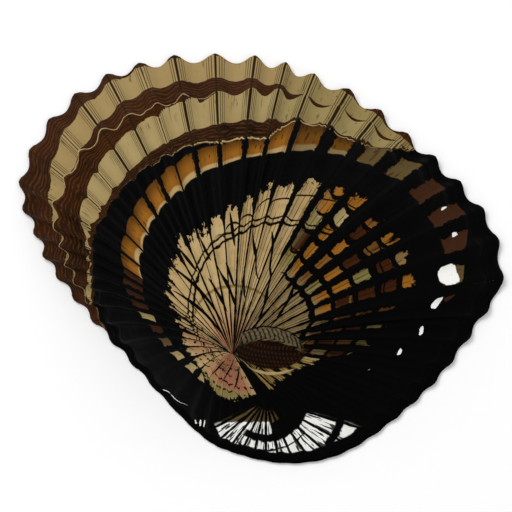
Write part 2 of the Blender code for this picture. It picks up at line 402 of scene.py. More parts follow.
# the rings of the mesh, each with its place and its marks
outsideMarks = ("zone", "rib", "away", "share", "bar", "ring", "tan", "arc", "fanEnd", "strip", "tone",
                "cellTone", "blush", "white", "shadedCellSide", "front", "hollow", "seam", "lensAlong", "above",
                "hair", "lipEdge")
markNames = (*outsideMarks, "inside")
marks = {name: [] for name in markNames}
rings = []


def keep(place, share, zone, **extra):
    rings.append(place)
    share = np.broadcast_to(share, (columns,)).astype(float)
    fanEnd, strip = blackFields(share)
    row = np.floor((share - cellRows["start"]) / cellRows["height"]).astype(int) + cellRows["before"]
    row = np.clip(row, 0, cellRows["count"] - 1)
    inStrip = (zone > stripZones[0]) & (zone < stripZones[1])
    given = {"zone": zone, "rib": phase, "share": share, "fanEnd": fanEnd, "strip": strip,
             "tan": share - zoneEdges[2], "arc": share - zoneEdges[3],
             "away": np.where(inStrip, cellAway, ribAway),
             "tone": fluteTone, "cellTone": cellTones[fluteIndex, row],
             "blush": blushAt(share), "white": whiteAt(share), "shadedCellSide": shadedCellSide, "front": front, **extra}
    for name in markNames:
        marks[name].append(given.get(name, np.zeros(columns)))


def outsideRing(share, lift, chips=0.0, lipEdge=None):
    share = np.broadcast_to(share, (columns,)).copy()
    chipped = share - chips
    place = coil(chipped, rim)
    hollow, ridge, seam, along, above = lensParts(place)
    zone = zoneAt(share)
    growth = share ** 0.8
    ribs = ribHeight * growth * crest * (0.85 + 0.3 * ribTone) * (1.0 - calmRim * ramp(share, 0.86, 1.0))
    riblets = sum(part * np.exp(-((ribAway - at) / form["ribletWidth"]) ** 2)
                  for at, part in form["ribletsAt"])
    riblets *= form["riblet"] * growth
    # low steps where growth paused
    checks = form["check"] * (0.5 + 0.5 * np.sin(zone * math.tau * 1.5 + 0.6 * np.sin(phase * 0.9)))
    checks *= ramp(share, 0.05, 0.3) * (1.0 - crest * 0.5)
    crenulated = 1.0 + lens["crenulation"] * np.sin(along * lens["crenulations"])
    rise = (ribs + riblets) * (1.0 - hollow) + checks * (1.0 - hollow) + lift
    rise += -lens["depth"] * hollow + lens["ridge"] * ridge * crenulated + lens["seam"] * seam
    place = place + outwards(chipped, plainRim) * rise[:, None]
    keep(place, share, zone, bar=barWidth(zone, share), ring=ringInk(share), hollow=hollow,
         seam=seam, lensAlong=along, above=above, hair=hairLine(share, 0.09),
         lipEdge=np.zeros(columns) if lipEdge is None else lipEdge)


def insideRing(share):
    fluted = max(0.0, (share - 0.75) / 0.25)
    margin = plainRim + (rim - plainRim) * fluted
    share = np.full(columns, share)
    wall = form["wall"] + form["wallAtCrown"] * (1.0 - share)
    # the scar is open towards the beak
    scar = swell(bearing, scarForm["bearing"], scarForm["spread"])
    scar *= np.exp(-((share - scarForm["share"]) / scarForm["width"]) ** 4)
    wall = wall - scarForm["depth"] * scar
    # towards the crown the wall is measured straight down, so that it doesn't pinch
    straight = 1.0 - ramp(share, 0.36, 0.62)[:, None]
    inwardWay = outwards(share, plainRim) * (1.0 - straight) + np.array([0.0, 0.0, 1.0]) * straight
    inwardWay /= np.linalg.norm(inwardWay, axis=1)[:, None]
    place = coil(share, margin) - inwardWay * wall[:, None]
    place[:, 2] = np.maximum(place[:, 2], 0.0)
    keep(place, share, zoneAt(share), inside=np.ones(columns), hollow=scar)


def buildRings():
    start = np.zeros(columns)
    upper = np.linspace(0.0, 1.0, meshing["upper"] + 1)[1:] ** meshing["upperCrowding"]
    stepped = np.linspace(0.0, 1.0, meshing["step"] + 1)[1:]
    for edge, height, shares, chips in ((edgeC, lip, upper, chip), (edgeB, lip, stepped, chipB),
                                        (edgeA, form["rimEdge"], stepped, None)):
        for v in shares:
            ragged = 0.0
            if chips is not None:
                ragged = form["chips"] * (chips + 0.4) * terrace * v**8
            outsideRing(start + (edge - start) * v, height * v**4, ragged,
                        np.full(columns, max(0.0, (v - 0.9) / 0.1)))
        if chips is not None:
            last = rings[-1]
            start = edge + form["lipFoot"] + form["lipSlope"] * terrace
            outsideRing(start, 0.0)
            foot = rings.pop()
            footMarks = {name: marks[name].pop() for name in marks}
            for t in meshing["riser"]:
                keep(last + (foot - last) * t, footMarks["share"], footMarks["zone"],
                     bar=footMarks["bar"], ring=footMarks["ring"], lipEdge=np.full(columns, 1.0 - t))
            rings.append(foot)
            for name in marks:
                marks[name].append(footMarks[name])
    end = meshing["insideEnd"]
    inner = np.concatenate([np.linspace(1.0, 0.93, meshing["rimInside"]),
                            np.linspace(0.92, end, meshing["inside"])])
    for share in inner:
        insideRing(share)
    crown = rings[-1].mean(0)
    last = rings[-1]
    for v in meshing["crown"]:
        keep(crown + (last - crown) * v, np.full(columns, end * v), np.zeros(columns),
             inside=np.ones(columns))
    return crown


crown = buildRings()
print("rings", len(rings), "columns", columns, "triangles", 2 * columns * len(rings))


def makeShell():
    bpy.ops.object.select_all(action="DESELECT")
    bpy.ops.mesh.primitive_uv_sphere_add(segments=columns, ring_count=len(rings) + 1, radius=1.0)
    shell = bpy.context.object
    shell.name = "limpetShell"
    mesh = shell.data
    count = len(mesh.vertices)
    sphere = np.zeros(count * 3)
    mesh.vertices.foreach_get("co", sphere)
    sphere = sphere.reshape(-1, 3)
    level = np.rint(np.arccos(np.clip(sphere[:, 2], -1, 1)) / math.pi * (len(rings) + 1)).astype(int)
    column = np.rint(np.arctan2(sphere[:, 1], sphere[:, 0]) / math.tau * columns).astype(int) % columns
    grid = np.array(rings)
    top, bottom = level == 0, level == len(rings) + 1
    ring = np.clip(level - 1, 0, len(rings) - 1)
    place = grid[ring, column]
    place[top] = (0.0, 0.0, form["beakHeight"])
    place[bottom] = crown
    # kept inside the solid's box
    low, high = place.min(0), place.max(0)
    boxLow, boxHigh = np.array(cadLow) / mm, np.array(cadHigh) / mm
    place[:, :2] -= (low[:2] + high[:2]) / 2 - (boxLow[:2] + boxHigh[:2]) / 2
    shrink = np.minimum(1.0, (boxHigh - boxLow) / (high - low))
    print("shrunk to the solid's box by", shrink)
    place = place * shrink * mm
    mesh.vertices.foreach_set("co", place.ravel())
    for name, rows in marks.items():
        values = np.array(rows)[ring, column]
        if name != "inside":
            values[top] = np.array(rows)[0].mean()
        values[bottom] = np.array(rows)[-1].mean()
        mesh.attributes.new(name, "FLOAT", "POINT").data.foreach_set("value", values.astype(np.float32))
    # a seamless space to draw noise in: one unit is one rib round, and one band along
    turn = phase / form["ribs"] * math.tau
    radius = form["ribs"] / math.tau
    wrapped = np.stack([radius * np.cos(turn)[column], radius * np.sin(turn)[column],
                        np.array(marks["zone"])[ring, column]], 1)
    ribSpace = mesh.attributes.new("ribSpace", "FLOAT_VECTOR", "POINT")
    ribSpace.data.foreach_set("vector", wrapped.astype(np.float32).ravel())
    mesh.update()
    bpy.ops.object.shade_smooth()
    return shell


shell = makeShell()
print("shell modelled")


# short words for nodes, and the node tree that they work on
bench = {"tree": None}


def feed(socket, value):
    # a link from another node, or a plain value
    if isinstance(value, bpy.types.NodeSocket):
        bench["tree"].links.new(value, socket)
    else:
        socket.default_value = value


def put(kind, settings=None, **inputs):
    node = bench["tree"].nodes.new(kind)
    for name, value in (settings or {}).items():
        setattr(node, name, value)
    for name, value in inputs.items():
        numbered = name[0] == "i" and name[1:].isdigit()
        feed(node.inputs[int(name[1:]) if numbered else name.replace("_", " ")], value)
    return node


def calc(operation, a, b=0.0, c=0.0):
    return put("ShaderNodeMath", {"operation": operation}, i0=a, i1=b, i2=c).outputs[0]


def chain(operation, values):
    result = values[0]
    for value in values[1:]:
        result = calc(operation, result, value)
    return result


def times(*values):
    return chain("MULTIPLY", values)


def plus(*values):
    return chain("ADD", values)


def most(*values):
    return chain("MAXIMUM", values)


def less(value, taken):
    return calc("SUBTRACT", value, taken)


def inverse(value):
    return calc("SUBTRACT", 1.0, value)


def absolute(value):
    return calc("ABSOLUTE", value)


def mark(name, vector=False):
    node = put("ShaderNodeAttribute", {"attribute_name": name})
    return node.outputs["Vector" if vector else "Fac"]


def noiseOf(vector, scale, detail=3.0, rough=0.5):
    return put("ShaderNodeTexNoise", Vector=vector, Scale=scale, Detail=detail,
               Roughness=rough).outputs["Fac"]


def wander(vector, scale, detail=3.0, rough=0.5):
    # noise about nought
    return less(noiseOf(vector, scale, detail, rough), 0.5)


def rise(value, low, high):
    settings = {"interpolation_type": "SMOOTHSTEP"}
    return put("ShaderNodeMapRange", settings, Value=value, From_Min=low, From_Max=high).outputs["Result"]


def between(value, low, high, soft=0.03):
    return times(rise(value, low - soft, low + soft), inverse(rise(value, high - soft, high + soft)))


def over(factor, under, top):
    return put("ShaderNodeMix", {"data_type": "RGBA"}, Factor=factor, i6=under, i7=top).outputs[2]


def stretched(vector, x, y, z):
    return put("ShaderNodeMapping", Vector=vector, Scale=(x, y, z)).outputs[0]


def newGroup(name, inputs, outputs):
    # each input is a number with its usual value, or a vector where that is None; outputs are numbers
    group = bpy.data.node_groups.new(name, "ShaderNodeTree")
    for socketName, usual in inputs.items():
        kind = "NodeSocketVector" if usual is None else "NodeSocketFloat"
        socket = group.interface.new_socket(socketName, in_out="INPUT", socket_type=kind)
        if usual is not None:
            socket.default_value = usual
    for socketName in outputs:
        group.interface.new_socket(socketName, in_out="OUTPUT", socket_type="NodeSocketFloat")
    bench["tree"] = group
    return group, put("NodeGroupInput").outputs, put("NodeGroupOutput").inputs


def useGroup(group, **inputs):
    node = put("ShaderNodeGroup", {"node_tree": group})
    for name, value in inputs.items():
        feed(node.inputs[name.replace("_", " ")], value)
    return node.outputs


def growthLinesGroup():
    # wavy lines along the rim, as a shell lays down its edge
    inputs = {"Space": None, "Zone": 0.0, "Count": 6.0, "Wave": 0.12, "Width": 0.3}
    group, given, result = newGroup("growthLines", inputs, ("Lines", "Height"))
    slow = wander(stretched(given["Space"], 1.0, 1.0, 0.7), 0.9, 2.0)
    quick = wander(stretched(given["Space"], 1.0, 1.0, 1.2), 3.6, 2.0)
    bend = times(plus(slow, times(quick, 0.6)), given["Wave"])
    row = times(plus(given["Zone"], bend), given["Count"])
    wave = absolute(less(calc("FRACT", row), 0.5))
    line = inverse(rise(wave, 0.0, given["Width"]))
    broken = rise(noiseOf(stretched(given["Space"], 1.0, 1.0, 3.0), 2.2, 2.0), 0.32, 0.52)
    feed(result["Lines"], times(line, broken))
    feed(result["Height"], wave)
    return group


def fineRaysGroup():
    # hair-thin strokes along the ribs, of uneven length
    group, given, result = newGroup("fineRays", {"Space": None, "Fineness": 9.0, "Amount": 0.5}, ("Rays",))
    hairs = noiseOf(stretched(given["Space"], 1.0, 1.0, 0.16), given["Fineness"], 2.0, 0.6)
    limit = less(0.78, times(given["Amount"], 0.3))
    feed(result["Rays"], rise(hairs, limit, plus(limit, 0.05)))
    return group


def blotchGroup():
    # slow, cloudy change of tone
    group, given, result = newGroup("blotches", {"Vector": None, "Size": 120.0}, ("Tone",))
    feed(result["Tone"], rise(noiseOf(given["Vector"], given["Size"], 4.0, 0.6), 0.3, 0.7))
    return group


growthLines, fineRays, blotches = growthLinesGroup(), fineRaysGroup(), blotchGroup()


def newMaterial(name):
    material = bpy.data.materials.new(name)
    material.use_nodes = True
    bench["tree"] = material.node_tree
    return material, material.node_tree.nodes["Principled BSDF"].inputs


def tint(red, green, blue, depth=0.82):
    # a colour as it is seen, in steps of 255
    return (*(depth * ((v / 255.0 + 0.055) / 1.055) ** 2.4 for v in (red, green, blue)), 1.0)


paint = {
    "cream": tint(186, 157, 106), "paleCream": tint(200, 174, 124), "deepCream": tint(160, 132, 84),
    "stepCreamB": tint(176, 156, 106), "stepCreamA": tint(172, 148, 98), "sand": tint(132, 98, 40),
    "pink": tint(178, 122, 88), "rose": tint(168, 100, 78), "amber": tint(146, 94, 24),
    "orange": tint(158, 102, 32), "brown": tint(64, 31, 8), "umber": tint(34, 16, 3),
    "lightBrown": tint(116, 76, 34), "redBrown": tint(64, 37, 19), "olive": tint(132, 122, 68),
    "ink": (0.0004, 0.0004, 0.0004, 1.0), "line": tint(46, 30, 12), "chalk": tint(246, 245, 240, 0.97),
    # lens is the dark brown painted into the hollow beside the beak: painted shade
    "lens": tint(34, 20, 11), "lensLight": tint(96, 58, 34), "ridge": tint(112, 102, 78),
    "wash": tint(98, 80, 46), "yellow": tint(150, 124, 60),
    "underPale": (0.68, 0.60, 0.46, 1), "underTan": (0.56, 0.45, 0.30, 1),
    "underScar": (0.42, 0.27, 0.14, 1), "underCrown": (0.35, 0.19, 0.085, 1),
}

# long strokes of ink across the fan, each from a rib and share to another
strokes = (
    (6.0, 0.255, 7.35, 0.39), (7.0, 0.225, 9.0, 0.385), (9.3, 0.11, 12.1, 0.25), (11.5, 0.115, 13.3, 0.215),
    (13.2, 0.085, 16.3, 0.32), (14.6, 0.045, 17.7, 0.27), (10.25, 0.30, 10.6, 0.41),
    (10.2, 0.185, 11.1, 0.25), (8.1, 0.16, 9.1, 0.235), (12.4, 0.26, 12.9, 0.33), (14.2, 0.24, 14.8, 0.33),
    (3.2, 0.10, 6.6, 0.30), (0.9, 0.13, 4.4, 0.36), (30.0, 0.16, 29.0, 0.42), (33.6, 0.12, 30.4, 0.44),
    (34.6, 0.18, 32.4, 0.45),
)
# the short fan in front of the beak: the middle it opens from and its rings, in metres, its angles in degrees
foreFan = {
    "x": 0.0010, "down": 0.0236, "tilt": 18.0, "leftmost": -62.0, "rightmost": 72.0, "every": 12.0,
    "core": 0.0014, "teeth": 0.0040, "whiteFrom": 0.0039, "ring": (0.0059, 0.0072), "line": (0.0085, 0.0088),
    "bar": (0.0122, 0.0136), "edge": 0.0112, "edgeSlope": 0.000026, "step": 0.0045, "stepAt": (55.0, 60.0),
    "ringFrom": -33.0, "ringTo": 46.0, "ray": (0.00018, 0.00026), "ragged": 0.0009,
}


def strokeGroup():
    # one tapering stroke, drawn from one rib and share to another
    inputs = {"Rib": 0.0, "Share": 0.0, "From Rib": 0.0, "From Share": 0.0, "Ribs": 1.0, "Shares": 1.0,
              "Width": 0.006}
    group, given, result = newGroup("stroke", inputs, ("Ink",))
    rib = less(given["Rib"], given["From Rib"])
    share = less(given["Share"], given["From Share"])
    along = calc("DIVIDE", share, given["Shares"])
    target = times(calc("POWER", most(along, 0.0), 0.75), given["Ribs"])
    across = times(absolute(less(rib, target)), given["Share"])
    inside = times(rise(along, 0.0, 0.02), inverse(rise(along, 0.97, 1.0)))
    swelling = calc("SINE", times(along, math.pi))
    taper = times(given["Width"], plus(0.25, swelling))
    body = inverse(rise(less(across, taper), -0.004, 0.004))
    feed(result["Ink"], times(body, inside))
    return group


def foreFanGroup():
    # rays and rings about the middle of the front fan, and how much white shows between them
    group, given, result = newGroup("foreFan", {"Place": None, "Share": 0.0}, ("Field", "White", "Ink"))
    split = put("ShaderNodeSeparateXYZ", Vector=given["Place"]).outputs
    tilt = math.radians(foreFan["tilt"])
    x = less(split["X"], foreFan["x"])
    seen = plus(times(split["Y"], math.cos(tilt)), times(split["Z"], math.sin(tilt)))
    down = less(times(seen, -1.0), foreFan["down"])
    ragged = times(wander(given["Place"], 900.0, 3.0), foreFan["ragged"])
    reach = calc("SQRT", plus(times(x, x), times(down, down)))
    reachRough = plus(reach, ragged)
    angle = calc("DEGREES", calc("ARCTAN2", x, down))

    def beyond(value, soft=0.00012):
        return rise(reachRough, value - soft, value + soft)

    def ringOf(limits, soft=0.00012):
        return times(beyond(limits[0], soft), inverse(beyond(limits[1], soft)))

    left, right = foreFan["leftmost"], foreFan["rightmost"]
    roughShare = plus(given["Share"], times(ragged, 30.0))
    field = times(between(angle, left, right, 2.5), beyond(foreFan["core"]),
                  inverse(rise(roughShare, 0.915, 0.925)), rise(down, 0.0002, 0.0006))
    # its outer edge, nearer on the left, and a step further out beyond the bar
    edge = plus(times(angle, foreFan["edgeSlope"]), foreFan["edge"],
                times(rise(angle, *foreFan["stepAt"]), foreFan["step"]))
    field = times(field, inverse(rise(less(reachRough, edge), -0.0001, 0.0001)))
    turn = calc("DIVIDE", angle, foreFan["every"])
    offRay = absolute(less(turn, calc("ROUND", turn)))
    offRay = times(offRay, math.radians(foreFan["every"]), reach)
    ink = inverse(rise(plus(offRay, times(ragged, 0.3)), *foreFan["ray"]))
    # finer strokes between the rays
    spread = put("ShaderNodeCombineXYZ", X=times(angle, 0.16), Y=times(reach, 110.0)).outputs[0]
    fine = times(rise(noiseOf(spread, 2.6, 2.0), 0.53, 0.57), 0.95)
    # a broad ring and a thin one, and on the right a bar that the outermost cells stand behind
    rings = most(ringOf(foreFan["ring"]), ringOf(foreFan["line"], 0.00006))
    rings = times(rings, between(angle, foreFan["ringFrom"], foreFan["ringTo"], 2.5))
    bar = times(ringOf(foreFan["bar"]), rise(angle, 48.0, 52.0))
    # inside the broad ring the teeth are black on the right
    inner = inverse(beyond(foreFan["ring"][1]))
    teeth = times(inner, beyond(foreFan["teeth"]), rise(angle, 11.0, 14.0))
    ink = most(ink, fine, rings, bar, teeth, times(inner, rise(angle, 30.0, 34.0)))
    white = rise(plus(down, ragged), foreFan["whiteFrom"] - 0.0001, foreFan["whiteFrom"] + 0.0001)
    white = most(white, between(angle, foreFan["ringTo"], right + 10.0, 2.5))
    feed(result["Field"], field)
    feed(result["White"], white)
    feed(result["Ink"], ink)
    return group


stroke, foreFanLines = strokeGroup(), foreFanGroup()


def lay(colour, top, *masks, strength=1.0):
    # one wash of paint over a colour, as far as all the masks let it
    top = paint[top] if isinstance(top, str) else top
    return over(times(*masks, strength), colour, top)


# scales of the noise that the paint is broken up with: the finer, the higher
grain = {"cloud": 90.0, "fineCloud": 420.0, "jitter": 800.0, "skin": 900.0, "rays": 7.0, "hairs": 15.0}
# the fan's washes, the shadedCellSide one being painted shade: the ribs they lie between, the shares over
# which they set in, and how strong they are
fanWash = {"shadedCellSide": 0.62, "blush": 0.8, "fine": 0.45,
           "yellowRibs": (35.8, 41.5), "yellowFrom": (0.12, 0.24), "yellow": 0.85,
           "oliveRibs": (28.0, 35.0), "oliveFrom": (0.44, 0.48), "olive": 0.7}
# the mixed cells: where in the draw each colour begins, and how far the ones at the far right are darkened as
# painted shade
cellPaints = ((0.22, 0.26, "orange"), (0.50, 0.54, "lightBrown"), (0.74, 0.78, "stepCreamB"),
              (0.90, 0.93, "olive"))
shadedCells = {"from": (40.5, 41.5), "to": (45.6, 46.2), "strength": 0.72}
# lines on the fan, in shares of the way from beak to rim unless they say ribs
fanLines = {"soft": 0.002, "tanArc": (-0.004, 0.004), "faintArc": (-0.112, -0.104),
            "double": ((-0.005, 0.005), (0.017, 0.024)), "endLine": (-0.055, -0.048), "ticks": 420.0,
            "crowdedRibs": (3.5, 10.0), "crowdedFore": (35.5, 46.5), "dashRows": 11.5, "dashWander": 1.7,
            "dashRibs": (19.5, 36.0), "dashFrom": (0.11, 0.14), "strokeWidth": 0.034}
# the strip of cells: how far in the cream ends reach, where the shade sets in, and the ribs it is amber at
stripCells = {"creamEnds": (5.24, 5.34), "shadeFrom": (5.45, 6.15), "amberRibs": (5.6, 19.2),
              "dullBefore": (7.8, 8.2)}
# edges of the black, in shares, and how far the jitter moves each kind of edge
inkEdge = {"soft": 0.0025, "bar": 0.012, "barJitter": 0.30, "ringJitter": 0.8, "fanJitter": 0.10,
           "fanFringe": 0.09, "stripJitter": 0.006, "arcJitter": 0.016}
# fine lines beside each rib on the pale strips: from, to and how soft, in ribs
besideRibs = ((0.085, 0.11, 0.008), (0.15, 0.17, 0.008), (0.21, 0.225, 0.007))
# one white stroke at the left rim
sliver = {"From_Rib": 28.5, "From_Share": 0.885, "Ribs": -1.3, "Shares": 0.09, "Width": 0.035}
lensPaint = {"columns": 125.0, "dots": 9000.0, "lean": 95.0, "slant": 1.8, "ridge": (0.25, 1.65),
             "arc": (1.72, 1.92)}


def readMarks():
    at = {name: mark(name) for name in outsideMarks}
    at["space"] = mark("ribSpace", vector=True)
    at["place"] = put("ShaderNodeTexCoord").outputs["Object"]
    at["cloud"] = useGroup(blotches, Vector=at["place"], Size=grain["cloud"])["Tone"]
    at["fineCloud"] = noiseOf(at["place"], grain["fineCloud"], 4.0, 0.6)
    at["rays"] = useGroup(fineRays, Space=at["space"], Fineness=grain["rays"], Amount=0.5)["Rays"]
    at["hairs"] = useGroup(fineRays, Space=at["space"], Fineness=grain["hairs"], Amount=0.42)["Rays"]
    at["jitter"] = wander(at["place"], grain["jitter"], 3.0, 0.6)
    at["inFan"] = inverse(rise(at["zone"], 4.0, 4.3))
    at["inCells"] = between(at["zone"], 4.6, 6.6)
    return at


def fanColour(at):
    rib, share = at["rib"], at["share"]
    colour = over(at["cloud"], paint["cream"], paint["paleCream"])
    colour = lay(colour, "deepCream", rise(at["fineCloud"], 0.50, 0.68), strength=fanWash["fine"])
    # the right side washed darker: painted shade
    colour = lay(colour, "wash", at["shadedCellSide"], strength=fanWash["shadedCellSide"])
    colour = lay(colour, "yellow", between(rib, *fanWash["yellowRibs"], 0.4),
                 rise(share, *fanWash["yellowFrom"]), strength=fanWash["yellow"])
    blush = over(rise(at["front"], 0.4, 0.9), paint["pink"], paint["rose"])
    colour = lay(colour, blush, at["blush"], strength=fanWash["blush"])
    colour = lay(colour, "olive", between(rib, *fanWash["oliveRibs"], 0.5),
                 rise(share, *fanWash["oliveFrom"]), strength=fanWash["olive"])
    # mixed cells on the right side, the rightmost darkened as painted shade
    cell = paint["brown"]
    for low, high, name in cellPaints:
        cell = over(rise(at["cellTone"], low, high), cell, paint[name])
    cellShade = times(rise(rib, *shadedCells["from"]), inverse(rise(rib, *shadedCells["to"])))
    cell = lay(cell, "umber", cellShade, strength=shadedCells["strength"])
    return lay(colour, cell, rise(at["shadedCellSide"], 0.15, 0.6), rise(share, 0.29, 0.36))


def fanDrawing(at, colour):
    rib, share, away, space, inFan = at["rib"], at["share"], at["away"], at["space"], at["inFan"]
    soft = fanLines["soft"]
    # growth arcs in tan
    faint = times(between(at["arc"], *fanLines["faintArc"], soft), rise(at["shadedCellSide"], 0.0, 0.4))
    arcs = most(between(at["tan"], *fanLines["tanArc"], soft), faint)
    colour = lay(colour, "sand", arcs, strength=0.8)
    # brown hairs, crowded most on the right side as painted shade, and ticks along the ribs
    ticks = rise(calc("SINE", times(share, fanLines["ticks"])), 0.3, 0.7)
    colour = lay(colour, "line", inverse(rise(away, 0.05, 0.07)), ticks, inFan, strength=0.4)
    crowded = most(at["shadedCellSide"], times(between(rib, *fanLines["crowdedRibs"], 1.5), 0.85),
                   between(rib, *fanLines["crowdedFore"], 0.5), between(rib, -1.0, 1.0, 0.5))
    dense = plus(0.25, times(crowded, 0.7))
    fine = most(at["hairs"], times(at["rays"], crowded))
    colour = lay(colour, "line", fine, inFan, dense)
    # black rays a quarter and half of the way to the next rib
    quarter, middle = absolute(less(away, 0.25)), less(0.5, away)
    offRay = less(calc("MINIMUM", quarter, middle), at["hair"])
    patchy = rise(noiseOf(stretched(space, 1.0, 1.0, 0.5), 2.6, 2.0), 0.40, 0.48)
    rays = times(inverse(rise(offRay, -0.015, 0.015)), inFan, patchy)
    colour = lay(colour, "ink", rays, rise(crowded, 0.1, 0.6), strength=0.9)
    # black dashes that cross the front of the beak
    row = plus(times(share, fanLines["dashRows"]),
               times(wander(space, 0.8, 3.0, 0.6), fanLines["dashWander"]))
    offRow = absolute(less(calc("FRACT", row), 0.5))
    broken = rise(noiseOf(stretched(space, 1, 1, 0.7), 2.3, 2.0), 0.47, 0.53)
    return lay(colour, "ink", inverse(rise(offRow, 0.08, 0.14)), broken,
               rise(share, *fanLines["dashFrom"]), inFan, between(rib, *fanLines["dashRibs"], 1.2))


def stripColour(at):
    # the cells: amber with cream inner ends at the back, browner at the sides
    rib, tone = at["rib"], at["tone"]
    amber = over(tone, paint["amber"], paint["orange"])
    amber = lay(amber, "redBrown", at["rays"], strength=0.8)
    amber = lay(amber, "umber", at["hairs"], strength=0.7)
    inner = plus(at["zone"], times(tone, 0.20))
    amber = lay(amber, "cream", inverse(rise(inner, *stripCells["creamEnds"])))
    amber = lay(amber, "umber", rise(inner, *stripCells["shadeFrom"]), strength=0.65)
    amber = lay(amber, "umber", inverse(rise(rib, *stripCells["dullBefore"])), strength=0.5)
    light = over(rise(rib, 12.0, 14.0), paint["wash"], paint["stepCreamB"])
    sides = over(rise(tone, 0.45, 0.6), paint["redBrown"], light)
    sides = lay(sides, "brown", most(at["rays"], at["hairs"]), strength=0.7)
    return over(between(rib, *stripCells["amberRibs"], 0.2), sides, amber)


def terraceColour(at, colour):
    # each of the two terraces is brown, cream and brown
    zone, rib, hairs = at["zone"], at["rib"], at["hairs"]
    zoneSoft = plus(zone, times(at["jitter"], 0.10))
    creams = plus(between(zoneSoft, 8.0, 9.0), between(zoneSoft, 11.0, 12.0))
    browns = times(rise(zone, 6.97, 7.03), inverse(creams))
    waves = useGroup(growthLines, Space=at["space"], Zone=zone, Count=6.5, Wave=0.34, Width=0.30)
    brown = over(at["cloud"], paint["brown"], paint["umber"])
    brown = lay(brown, "brown", rise(zone, 9.9, 10.1), inverse(rise(rib, 12.0, 20.0)), strength=0.5)
    brown = lay(brown, "lightBrown", waves["Lines"], strength=0.36)
    brown = lay(brown, "umber", hairs, strength=0.5)
    colour = over(browns, colour, brown)
    cream = over(rise(zone, 10.0, 10.2), paint["stepCreamB"], paint["stepCreamA"])
    cream = lay(cream, "deepCream", at["cloud"], strength=0.45)
    colour = over(creams, colour, cream)
    # strokes that hang from the strips' outer edges
    streaked = between(rib, 4.2, 8.8, 0.8)
    reachIn = most(rise(calc("FRACT", zone), 0.35, 0.9), streaked)
    colour = lay(colour, "olive", streaked, creams, strength=0.35)
    hanging = most(hairs, times(at["rays"], 0.8))
    return lay(colour, "line", hanging, reachIn, creams, strength=0.7), creams, browns, waves["Height"]


def inkOver(at, colour, creams):
    rib, share, away, jitter, edge = at["rib"], at["share"], at["away"], at["jitter"], inkEdge["soft"]
    # bars along the ribs, rings on the dark side, and the black fields
    roughness = times(jitter, rise(at["bar"], 0.05, 0.16), inkEdge["barJitter"])
    ink = rise(less(plus(at["bar"], roughness), away), -inkEdge["bar"], inkEdge["bar"])
    ink = most(ink, rise(plus(at["ring"], times(jitter, inkEdge["ringJitter"])), 0.42, 0.56))
    fringe = wander(stretched(at["space"], 1, 1, 0.6), 5.0, 3.0, 0.6)
    fanEnd = plus(at["fanEnd"], times(jitter, inkEdge["fanJitter"]), times(fringe, inkEdge["fanFringe"]))
    strip = plus(at["strip"], times(jitter, inkEdge["stripJitter"]))
    black = rise(calc("MINIMUM", fanEnd, strip), -edge, edge)
    # the dark double arc, and one line near the fan's end
    soft = fanLines["soft"]
    arc = plus(at["arc"], times(jitter, inkEdge["arcJitter"]))
    end = plus(at["fanEnd"], times(jitter, inkEdge["stripJitter"]))
    endLine = times(between(end, *fanLines["endLine"], soft), inverse(rise(rib, 11.0, 12.0)))
    lines = most(*(between(arc, low, high, soft) for low, high in fanLines["double"]), endLine)
    lines = times(lines, inverse(rise(at["front"], 0.75, 0.95)), at["inFan"])
    ink = most(ink, black, lines)
    for fromRib, fromShare, toRib, toShare in strokes:
        drawn = useGroup(stroke, Rib=rib, Share=share, From_Rib=fromRib, From_Share=fromShare,
                         Ribs=toRib - fromRib, Shares=toShare - fromShare, Width=fanLines["strokeWidth"])
        ink = most(ink, drawn["Ink"])
    # thin lines beside each rib on the pale strips
    first, second, third = (between(away, *line) for line in besideRibs)
    triple = most(first, second, times(third, rise(at["tone"], 0.3, 0.5)))
    colour = lay(colour, "line", most(creams, times(at["inCells"], 0.9)), triple, strength=0.85)
    # the bars are brown on the terraces and black further in
    inkColour = lay(paint["ink"], "line", rise(at["zone"], 7.02, 7.1), inverse(black), strength=0.8)
    return over(ink, colour, inkColour)


def whiteOver(at, colour):
    white = rise(plus(at["white"], times(at["jitter"], 0.35)), 0.46, 0.54)
    colour = lay(colour, "chalk", white)
    drawn = useGroup(stroke, Rib=at["rib"], Share=at["share"], **sliver)
    colour = lay(colour, "chalk", drawn["Ink"])
    # the short fan in front
    fore = useGroup(foreFanLines, Place=at["place"], Share=at["share"])
    foreColour = over(fore["White"], paint["wash"], paint["chalk"])
    foreColour = lay(foreColour, "ink", fore["Ink"])
    colour = over(fore["Field"], colour, foreColour)
    # pale lip of each terrace
    lipMark = rise(plus(at["lipEdge"], times(at["jitter"], 0.3)), 0.80, 0.92)
    return lay(colour, "paleCream", lipMark, between(at["zone"], 9.5, 12.0),
               inverse(rise(at["strip"], -0.001, 0.001)), strength=0.85)


